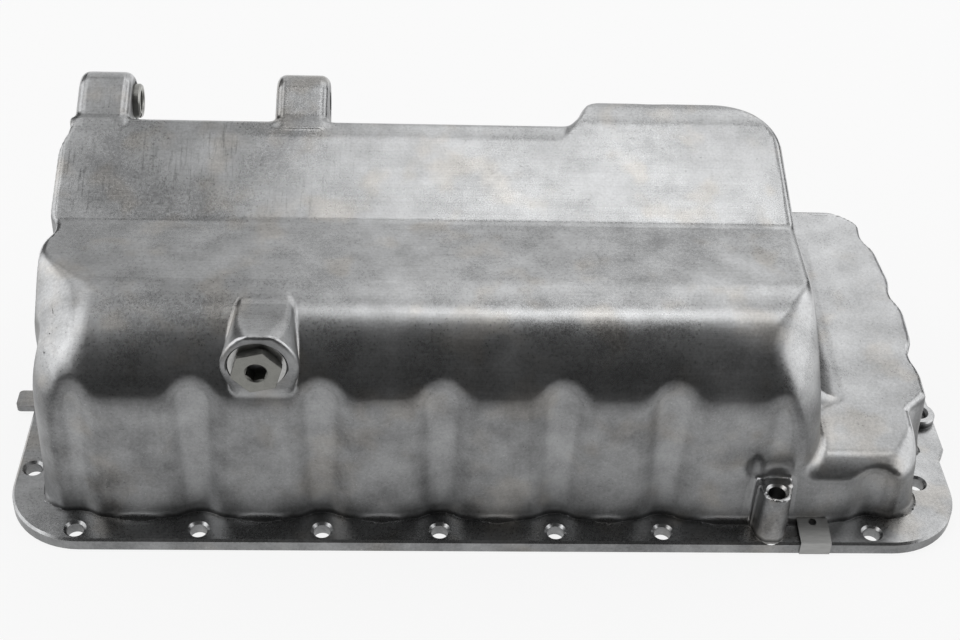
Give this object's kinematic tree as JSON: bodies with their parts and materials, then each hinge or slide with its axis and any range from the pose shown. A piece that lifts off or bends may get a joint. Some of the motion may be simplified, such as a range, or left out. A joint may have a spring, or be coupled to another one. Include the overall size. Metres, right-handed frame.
{
  "type": "engine oil pan",
  "caption": "Cast aluminium engine oil pan with a deep sloped sump, fluted walls, a shallow end, a drain plug and compressor lugs.",
  "frame": {"origin": "on the gasket plane, under the middle of the bounding box", "axes": "+X along the engine towards the shallow end, +Y across it away from the drain plug, +Z from the gasket face to the sump floor"},
  "size_m": [0.4388, 0.1956, 0.1322],
  "materials": {
    "cast_aluminium": "cast",
    "zinc_steel": "satin",
    "washer_metal": "satin",
    "bush_steel": "satin",
    "clip_steel": "satin"
  },
  "bodies": {
    "root": {"pan_casting": "cast_aluminium", "drain_plug": "zinc_steel", "drain_plug_washer": "washer_metal", "compressor_bush": "bush_steel", "harness_clip": "clip_steel"}
  },
  "joints": []
}
